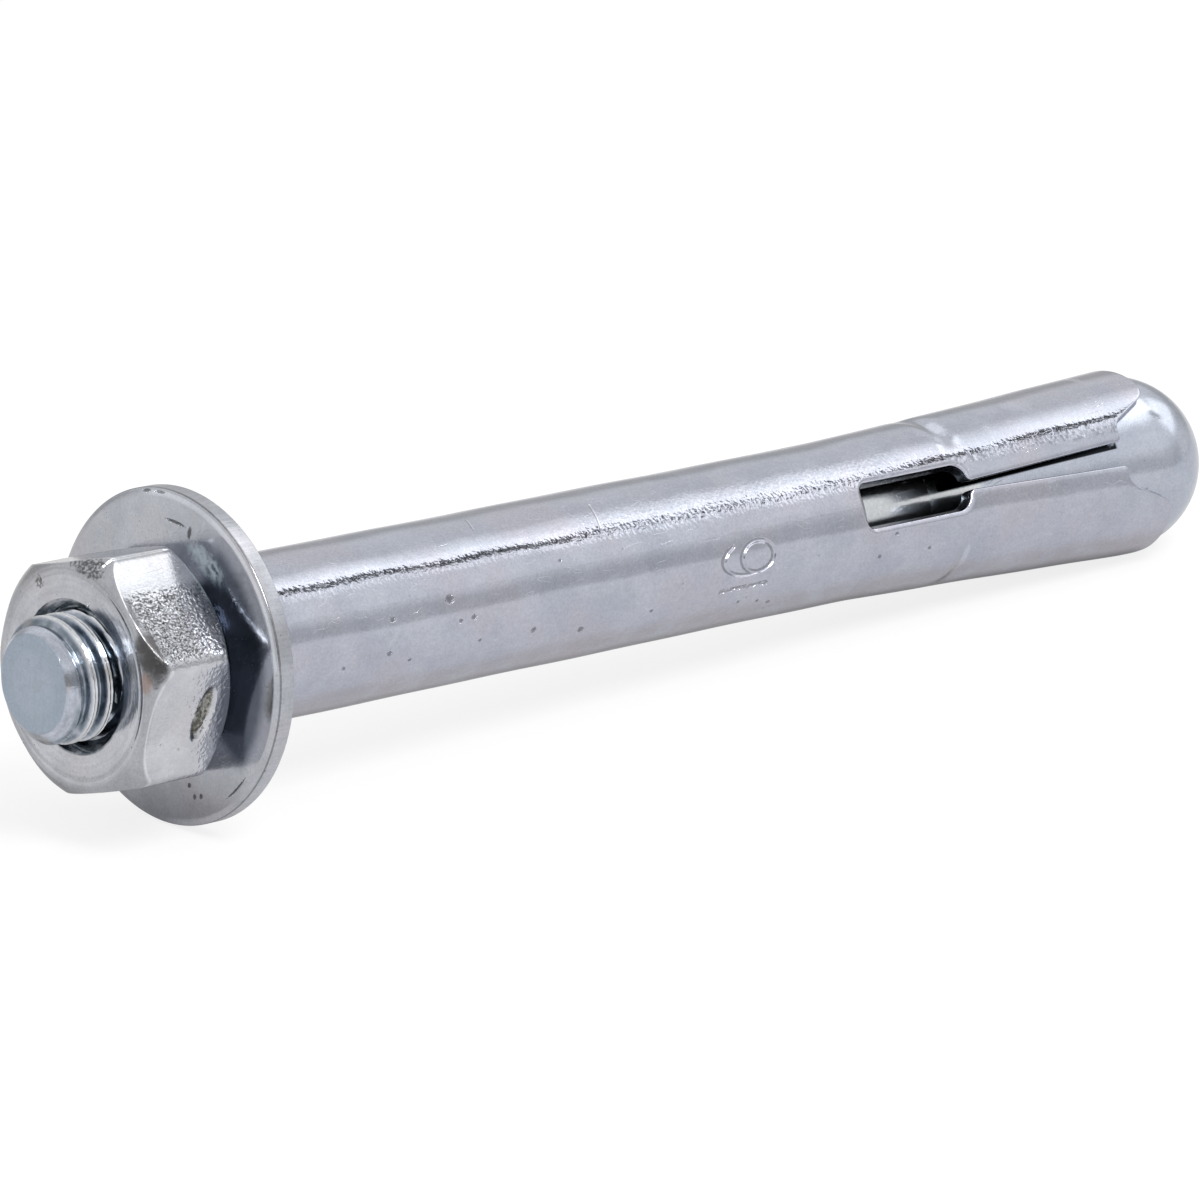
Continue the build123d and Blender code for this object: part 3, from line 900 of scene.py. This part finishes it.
def addCamera():
    run = np.array(photo["run"]) / np.linalg.norm(photo["run"])
    # the frame's up leans back by the camera's elevation, so that the axis keeps its slope to the floor
    lean = np.arccos(along[2] / hypot(run[1], run[2])) + np.arctan2(run[2], run[1])
    up = np.array([0, cos(lean), sin(lean)])
    right = (run - along[2] * up) / along[0]
    turnTo = np.array([right, np.cross(up, right), up])
    data = bpy.data.cameras.new("camera")
    data.lens, data.sensor_width, data.clip_start = photo["lens"], photo["sensor"], photo["nearest"]
    camera = bpy.data.objects.new("camera", data)
    camera.matrix_world = standing(turnTo.T, foot - turnTo @ (np.array(photo["pin"]) * mm))
    bpy.context.scene.collection.objects.link(camera)
    bpy.context.scene.camera = camera
    print("camera elevation", round(lean * inDegrees, 2))


# Studio: a soft white surround with brighter and darker patches, a bright panel with a slim dark gap
# beside it, and a soft box. Turns and levels are in degrees, from +X towards +Y and up from the floor.
# A patch has its turn and its level, each as the middle, where it ends and where it is full, and what
# it adds.
studio = dict(
    surround=0.8,
    patches=dict(
        side=((-45, 32, 9.6), (33, 24, 6), 0.14),
        low=((-58, 42, 21), (-90, 113, 101), -0.18),
        rear=((60, 75, 37.5), (0, 24, 12), -0.3),
        over=((-30, 52, 36.4), (64, 18, 10), 1.0),
        end=((-8, 24, 14.4), (31, 13, 7.8), 0.8),
        nearCamera=((-138, 24, 9.6), (10, 18, 7.2), -0.45)),
    panel=dict(start=-16.5, end=12, bottom=41, top=66, bright=0.95, dim=0.14),
    gap=dict(start=-22.5, end=-16.5, bottom=39.5, top=49, dark=0.04),
    box=dict(turn=-102, level=50, distance=0.9, wide=0.35, tall=0.35, power=6.5, aim=(0, 0, 0.015)))

# The floor's paper, and the share of its even glow that each kind of ray meets
paper = dict(reach=6.0, tone=(0.52, 0.52, 0.52, 1), rough=0.9, glow=1.17,
    white=(1, 1, 1, 1), warm=(1.0, 0.97, 0.96, 1), seen=0.7, mirrored=0.14, seenThrough=0.6)


def addSoftBox():
    # a lamp that faces the anchor's middle
    s = studio["box"]
    turn, level = radians(s["turn"]), radians(s["level"])
    way = np.array([cos(level) * cos(turn), cos(level) * sin(turn), sin(level)])
    side = np.cross((0, 0, 1), way) / cos(level)
    data = bpy.data.lights.new("softBox", "AREA")
    data.shape, data.size, data.size_y, data.energy = "RECTANGLE", s["wide"], s["tall"], s["power"]
    lamp = bpy.data.objects.new("softBox", data)
    lamp.matrix_world = standing((side, np.cross(way, side), way), way * s["distance"] + np.array(s["aim"]))
    bpy.context.scene.collection.objects.link(lamp)


def addSurround():
    s = studio
    world = bpy.data.worlds.new("studio")
    bpy.context.scene.world = world
    world.use_nodes = True
    tree = world.node_tree
    sky = next(node for node in tree.nodes if node.type == "BACKGROUND")
    parts = addNode(tree, "ShaderNodeSeparateXYZ", None, {0: addNode(tree, "ShaderNodeTexCoord")})
    x, y, z = (Wire(tree, socket) for socket in parts.socket.node.outputs)
    turn = y.maths("ARCTAN2", y, x) * inDegrees
    level = z.maths("ARCSINE", z) * inDegrees

    def about(value, middle, end, full):
        return abs(value - middle).between(end, full)

    p = s["panel"]
    panel = turn.between(p["start"] - 0.8, p["start"]) * turn.between(p["end"] + 8, p["end"]) \
        * level.band(p["bottom"], p["top"], 3) \
        * (p["dim"] + turn.between(p["end"] + 4, p["start"]) * (p["bright"] - p["dim"]))
    g = s["gap"]
    gap = turn.band(g["start"], g["end"], 0.8) * level.band(g["bottom"], g["top"], 2)
    light = s["surround"] + panel
    for turns, levels, added in s["patches"].values():
        light = light + about(turn, *turns) * about(level, *levels) * added
    light = light * (1 - gap * (1 - g["dark"]))
    # the background that the camera sees is plain white
    seen = addNode(tree, "ShaderNodeLightPath")
    tree.links.new((light * (1 - seen) + seen).socket, sky.inputs["Strength"])
    sky.inputs["Color"].default_value = (1, 1, 1, 1)


def addFloor():
    s = paper
    mesh = bpy.data.meshes.new("floor")
    corners = [(x * s["reach"], y * s["reach"], 0) for x, y in ((-1, -1), (1, -1), (1, 1), (-1, 1))]
    mesh.from_pydata(corners, [], [(0, 1, 2, 3)])
    floor = bpy.data.objects.new("floor", mesh)
    bpy.context.scene.collection.objects.link(floor)
    sheet = bpy.data.materials.new("paper")
    sheet.use_nodes = True
    tree = sheet.node_tree
    matt = next(node for node in tree.nodes if node.type == "BSDF_PRINCIPLED")
    matt.inputs["Base Color"].default_value = s["tone"]
    matt.inputs["Roughness"].default_value = s["rough"]
    matt.inputs["Specular IOR Level"].default_value = 0.0
    path = addNode(tree, "ShaderNodeLightPath").socket.node.outputs
    seen, mirrored, seenThrough = (Wire(tree, path["Is " + ray + " Ray"])
        for ray in ("Camera", "Glossy", "Transmission"))
    share = seen * s["seen"] + mirrored * s["mirrored"] + seenThrough * s["seenThrough"]
    colours = {0: mirrored, 6: s["white"], 7: s["warm"]}
    colour = addNode(tree, "ShaderNodeMix", {"data_type": "RGBA"}, colours, 2)
    glow = addNode(tree, "ShaderNodeEmission", None, {"Color": colour, "Strength": s["glow"]})
    blend = addNode(tree, "ShaderNodeMixShader", None, {0: share, 1: Wire(tree, matt.outputs[0]), 2: glow})
    surface = next(node for node in tree.nodes if node.type == "OUTPUT_MATERIAL").inputs["Surface"]
    tree.links.new(blend.socket, surface)
    mesh.materials.append(sheet)


addCamera()
addSurround()
addSoftBox()
addFloor()
bpy.context.scene.view_settings.view_transform = "Standard"
print("camera and studio ready")
